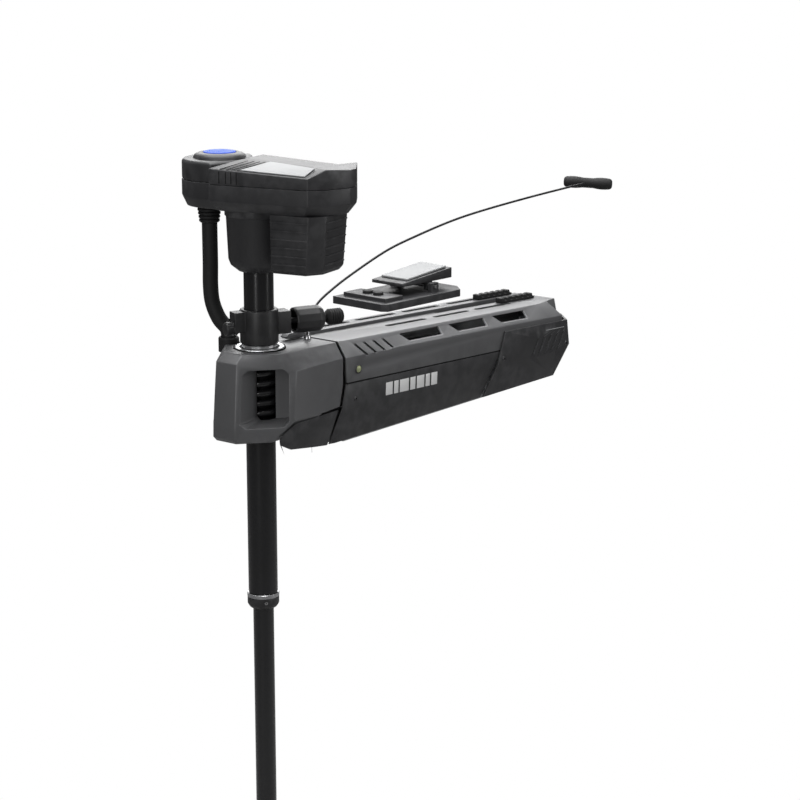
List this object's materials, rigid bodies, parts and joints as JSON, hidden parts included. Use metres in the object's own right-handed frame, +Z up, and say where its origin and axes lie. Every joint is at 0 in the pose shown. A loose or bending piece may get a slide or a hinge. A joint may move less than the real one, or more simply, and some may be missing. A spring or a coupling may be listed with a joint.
{
  "type": "trolling motor",
  "caption": "Bow-mount electric-steer trolling motor with folding deck mount, sprung nose, depth collar, steering head, propeller pod, stow cord and foot pedal.",
  "frame": {"origin": "centre of the deck mount's flat underside", "axes": "+X aft from the shaft towards the mount's tail, +Y to starboard, +Z up from the deck"},
  "size_m": [1.1846, 0.6877, 1.4429],
  "materials": {
    "cast_grey": "satin dark grey paint on a casting",
    "cover_black": "textured black",
    "arm_black": "satin black",
    "tray_aluminium": "anodised",
    "cap_aluminium": "machined",
    "tube_black": "gloss black",
    "collar_black": "satin black",
    "head_plastic": "textured black",
    "panel_grey": "satin",
    "prop_plastic": "moulded",
    "button_blue": "gloss",
    "lens": "clear",
    "rubber": "matt",
    "cord_black": "matt",
    "spring_black": "gloss black",
    "steel": "plain",
    "copper": "varnished winding",
    "board_green": "printed board"
  },
  "bodies": {
    "root": {"base_tray": "tray_aluminium", "port_top_shell": "cast_grey", "starboard_top_shell": "cast_grey", "port_side_cover": "cover_black", "starboard_side_cover": "cover_black", "tail_cover": "cover_black", "front_cradle": "cover_black", "port_rest_pad": "rubber", "starboard_rest_pad": "rubber", "status_lens": "lens", "swing_pin": "steel", "base_pulley": "steel", "pedal_base": "cover_black", "pedal_pin": "steel"},
    "arm": {"lift_arm": "arm_black", "tilt_pin": "steel", "tilt_belt": "rubber"},
    "nose": {"nose_casting": "cast_grey", "nose_pulley": "steel", "bearing_cap": "cap_aluminium", "shock_spring": "spring_black", "cable_grommet": "rubber"},
    "latch": {"latch_lever": "cast_grey"},
    "collar": {"spring_cap": "steel", "depth_collar": "collar_black"},
    "clamp": {"clamp_cup": "collar_black", "clamp_knob": "rubber"},
    "upper": {"outer_tube": "tube_black", "retaining_ring": "steel", "bottom_bearing": "collar_black", "head_lower_shell": "head_plastic", "head_upper_shell": "head_plastic", "head_lid": "head_plastic", "display_panel": "panel_grey", "dome_ring": "head_plastic", "tube_boss": "head_plastic", "servo_case": "head_plastic", "steering_motor": "steel", "control_panel_board": "board_green", "cable_gland": "rubber", "head_cable": "rubber"},
    "pinion": {"steer_pinion": "steel"},
    "button": {"power_button": "button_blue"},
    "lower": {"lower_tube": "tube_black", "steer_gear": "steel", "pod_housing": "tube_black", "nose_cone": "tube_black", "end_bell": "tube_black", "stator": "copper"},
    "prop": {"rotor": "steel", "motor_shaft": "steel", "propeller": "prop_plastic", "propeller_nut": "steel"},
    "cord": {"cord_ferrule": "steel", "pull_cord": "cord_black", "cord_handle": "rubber"},
    "treadle": {"treadle": "cover_black", "toe_pad": "rubber"},
    "pedal_button_1": {"pedal_button_1": "rubber"},
    "pedal_button_2": {"pedal_button_2": "rubber"}
  },
  "joints": [
    {"name": "arm_swing", "type": "hinge", "parent": "root", "child": "arm", "pos_m": [0.003, 0.012, 0.095], "axis": [0, 1, 0], "range_deg": [0, 180]},
    {"name": "nose_tilt", "type": "hinge", "parent": "arm", "child": "nose", "pos_m": [-0.27, 0.012, 0.095], "axis": [0, 1, 0], "range_deg": [-90, 0]},
    {"name": "shock_slide", "type": "slide", "parent": "nose", "child": "collar", "axis": [0, 0, 1], "range_m": [-0.012, 0], "stiffness_N_per_m": 2000, "springref_m": 0.01, "deforming": ["shock_spring"]},
    {"name": "clamp_turn", "type": "hinge", "parent": "collar", "child": "clamp", "pos_m": [-0.39, 0, 0.167], "axis": [0.9063, -0.4226, 0], "range_deg": [0, 540]},
    {"name": "depth_slide", "type": "slide", "parent": "nose", "child": "upper", "axis": [0, 0, 1], "range_m": [-0.045, 0.1], "deforming": ["head_cable"]},
    {"name": "steer", "type": "hinge", "parent": "upper", "child": "lower", "pos_m": [-0.39, 0, -0.2], "axis": [0, 0, 1], "range_deg": [-180, 180]},
    {"name": "pinion_spin", "type": "hinge", "parent": "upper", "child": "pinion", "pos_m": [-0.38256, -0.03828, 0.331], "axis": [0, 0, 1], "range_deg": [-540, 540]},
    {"name": "propeller_spin", "type": "hinge", "parent": "lower", "child": "prop", "pos_m": [-0.39, 0, -0.91], "axis": [1, 0, 0], "continuous": true},
    {"name": "power_press", "type": "slide", "parent": "upper", "child": "button", "axis": [0, 0, -1], "range_m": [0, 0.002], "stiffness_N_per_m": 400, "springref_m": -0.002},
    {"name": "latch_pull", "type": "hinge", "parent": "nose", "child": "latch", "pos_m": [-0.306, 0.005, 0.13952], "axis": [0, 1, 0], "range_deg": [0, 20], "stiffness_Nm_per_rad": 0.3, "springref_deg": -11.46},
    {"name": "cord_swing", "type": "hinge", "parent": "nose", "child": "cord", "pos_m": [-0.31, -0.012, 0.1347], "axis": [0, 0, 1], "range_deg": [0, 105]},
    {"name": "treadle_rock", "type": "hinge", "parent": "root", "child": "treadle", "pos_m": [0.55195, 0.42007, 0.023], "axis": [0.0698, 0.9976, 0], "range_deg": [-6, 6]},
    {"name": "pedal_press_1", "type": "slide", "parent": "root", "child": "pedal_button_1", "axis": [0, 0, -1], "range_m": [0, 0.003], "stiffness_N_per_m": 300, "springref_m": -0.002},
    {"name": "pedal_press_2", "type": "slide", "parent": "root", "child": "pedal_button_2", "axis": [0, 0, -1], "range_m": [0, 0.003], "stiffness_N_per_m": 300, "springref_m": -0.002}
  ],
  "couplings": [
    {"joint": "nose_tilt", "follows": "arm_swing", "ratio": -0.5},
    {"joint": "cord_swing", "follows": "arm_swing", "ratio": 0.58333},
    {"joint": "pinion_spin", "follows": "steer", "ratio": -3}
  ]
}
